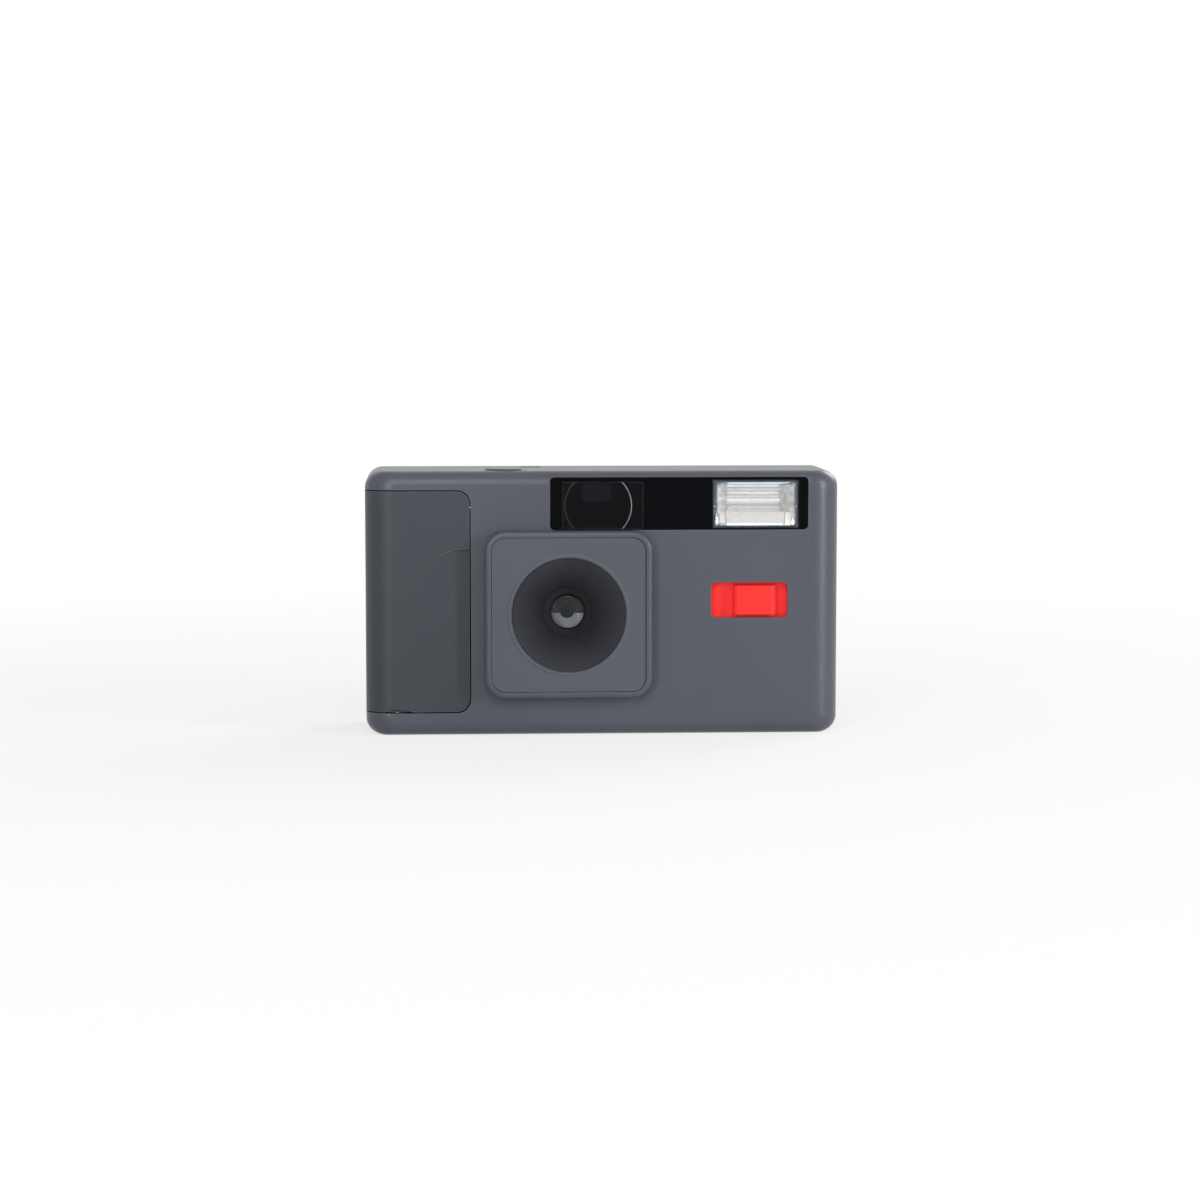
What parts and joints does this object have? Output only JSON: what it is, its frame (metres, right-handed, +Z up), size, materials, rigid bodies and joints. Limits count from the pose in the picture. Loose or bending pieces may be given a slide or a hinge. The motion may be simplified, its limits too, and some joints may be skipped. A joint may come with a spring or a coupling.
{
  "type": "reusable 35 mm film camera",
  "caption": "Small reusable film camera for 135 film with a square stepped lens front, flash, red flash switch, finder, thumb wheel and a hinged back.",
  "frame": {"origin": "on the underside, in the middle of the width and of the whole depth with the lens housing", "axes": "+X to the right of someone who looks at the lens, -Y out of the lens front, +Z up"},
  "size_m": [0.114, 0.0356, 0.0639],
  "materials": {
    "body_plastic": "matte, very fine grain",
    "grip_plastic": "matte, very fine grain",
    "lens_plate_plastic": "matte",
    "black_plastic": "matte",
    "button_plastic": "satin",
    "window_plastic": "gloss black",
    "clear_plastic": "clear, moulded",
    "smoke_plastic": "smoked, clear",
    "flash_plastic": "clear, ribbed",
    "lens_glass": "polished",
    "tube_glass": "polished",
    "mirror_metal": "bright",
    "red_plastic": "satin red",
    "white_plastic": "satin",
    "lamp_plastic": "clear amber",
    "contact_metal": "nickel plated",
    "screw_steel": "zinc plated",
    "black_metal": "matte black",
    "board_laminate": "paper laminate",
    "coil_tape": "wound tape",
    "seal_foam": "foam"
  },
  "bodies": {
    "camera_body": {"front_cover": "body_plastic", "battery_tray": "black_plastic", "battery_contact": "contact_metal", "battery_spring": "contact_metal", "film_chassis": "black_plastic", "case_screws": "screw_steel", "lens_housing": "body_plastic", "lens_plate": "lens_plate_plastic", "lens_retaining_ring": "black_plastic", "lens_element": "lens_glass", "aperture_plate": "black_metal", "shutter_base": "black_plastic", "shutter_pin": "screw_steel", "shutter_spring": "contact_metal", "window_panel": "window_plastic", "viewfinder_front_lens": "clear_plastic", "viewfinder_tunnel": "black_plastic", "viewfinder_rear_lens": "clear_plastic", "eyepiece_frame": "black_plastic", "flash_window": "flash_plastic", "flash_reflector": "mirror_metal", "flash_tube": "tube_glass", "flash_circuit_board": "board_laminate", "flash_capacitor": "black_plastic", "flash_transformer": "coil_tape", "switch_contacts": "contact_metal", "ready_lamp": "lamp_plastic", "button_spring": "contact_metal", "counter_window": "clear_plastic", "rewind_cup": "black_plastic", "release_spring": "contact_metal", "rear_frame": "body_plastic", "strap_bar": "screw_steel", "hinge_pin": "screw_steel", "latch_spring": "contact_metal"},
    "battery_door": {"battery_door": "grip_plastic"},
    "shutter_blade": {"shutter_blade": "black_metal"},
    "flash_switch": {"flash_switch": "red_plastic"},
    "shutter_button": {"shutter_button": "button_plastic"},
    "release_lever": {"release_lever": "white_plastic"},
    "film_winder": {"advance_wheel": "body_plastic", "take_up_spool": "black_plastic"},
    "film_sprocket": {"film_sprocket": "white_plastic"},
    "counter_dial": {"counter_dial": "white_plastic"},
    "ratchet_pawl": {"ratchet_pawl": "white_plastic"},
    "rewind_crank": {"rewind_crank": "body_plastic", "rewind_fork": "white_plastic", "crank_pin": "screw_steel"},
    "rewind_handle": {"rewind_handle": "body_plastic"},
    "rewind_release": {"rewind_release": "button_plastic"},
    "back_door": {"back_door": "body_plastic", "film_window": "smoke_plastic", "door_light_seal": "seal_foam", "pressure_spring": "contact_metal"},
    "pressure_plate": {"pressure_plate": "black_metal"},
    "door_latch": {"door_latch": "button_plastic"}
  },
  "joints": [
    {"name": "battery_door_hinge", "type": "hinge", "parent": "camera_body", "child": "battery_door", "pos_m": [-0.0441, -0.01245, 0.0545], "axis": [-1, 0, 0], "range_deg": [0, 85]},
    {"name": "shutter_blade_pivot", "type": "hinge", "parent": "camera_body", "child": "shutter_blade", "pos_m": [0.0006, -0.0041, 0.0384], "axis": [0, -1, 0], "range_deg": [0, 34], "stiffness_Nm_per_rad": 0.0005, "springref_deg": -11.46},
    {"name": "flash_switch_slide", "type": "slide", "parent": "camera_body", "child": "flash_switch", "axis": [-1, 0, 0], "range_m": [0, 0.0042]},
    {"name": "shutter_button_press", "type": "slide", "parent": "camera_body", "child": "shutter_button", "axis": [0, 0, -1], "range_m": [0, 0.0015], "stiffness_N_per_m": 100, "springref_m": -0.005, "deforming": ["button_spring"]},
    {"name": "release_lever_pivot", "type": "hinge", "parent": "camera_body", "child": "release_lever", "pos_m": [-0.016, -0.0055, 0.0476], "axis": [0, -1, 0], "range_deg": [0, 12]},
    {"name": "film_advance", "type": "hinge", "parent": "camera_body", "child": "film_winder", "pos_m": [-0.0378, 0.0059, 0.0574], "axis": [0, 0, 1], "continuous": true},
    {"name": "film_sprocket_turn", "type": "hinge", "parent": "camera_body", "child": "film_sprocket", "pos_m": [-0.022, 0.0074, 0.0435], "axis": [0, 0, 1], "continuous": true},
    {"name": "frame_counter_turn", "type": "hinge", "parent": "camera_body", "child": "counter_dial", "pos_m": [-0.0168, 0.005, 0.0579], "axis": [0, 0, 1], "continuous": true},
    {"name": "ratchet_pawl_pivot", "type": "hinge", "parent": "camera_body", "child": "ratchet_pawl", "pos_m": [-0.0288, -0.0066, 0.056], "axis": [0, 0, 1], "range_deg": [0, 10], "stiffness_Nm_per_rad": 0.0005, "springref_deg": -11.46},
    {"name": "rewind_crank_turn", "type": "hinge", "parent": "camera_body", "child": "rewind_crank", "pos_m": [0.0395, 0.00305, 0.0014], "axis": [0, 0, 1], "continuous": true},
    {"name": "rewind_handle_fold", "type": "hinge", "parent": "rewind_crank", "child": "rewind_handle", "pos_m": [0.0443, 0.00305, 0.0011], "axis": [0, -1, 0], "range_deg": [0, 95]},
    {"name": "rewind_release_press", "type": "slide", "parent": "camera_body", "child": "rewind_release", "axis": [0, 0, 1], "range_m": [0, 0.0012], "stiffness_N_per_m": 100, "springref_m": -0.004, "deforming": ["release_spring"]},
    {"name": "back_door_hinge", "type": "hinge", "parent": "camera_body", "child": "back_door", "pos_m": [-0.0496, 0.01615, 0.029], "axis": [0, 0, 1], "range_deg": [0, 95]},
    {"name": "pressure_plate_spring", "type": "slide", "parent": "back_door", "child": "pressure_plate", "axis": [0, 1, 0], "range_m": [0, 0.0005], "stiffness_N_per_m": 800, "springref_m": -0.0005},
    {"name": "door_latch_slide", "type": "slide", "parent": "camera_body", "child": "door_latch", "axis": [0, 0, -1], "range_m": [0, 0.003], "stiffness_N_per_m": 200, "springref_m": -0.001, "deforming": ["latch_spring"]}
  ],
  "couplings": [
    {"joint": "release_lever_pivot", "follows": "shutter_button_press", "rad_per_m": 137},
    {"joint": "film_sprocket_turn", "follows": "film_advance", "ratio": 0.826},
    {"joint": "frame_counter_turn", "follows": "film_advance", "ratio": -0.025}
  ]
}
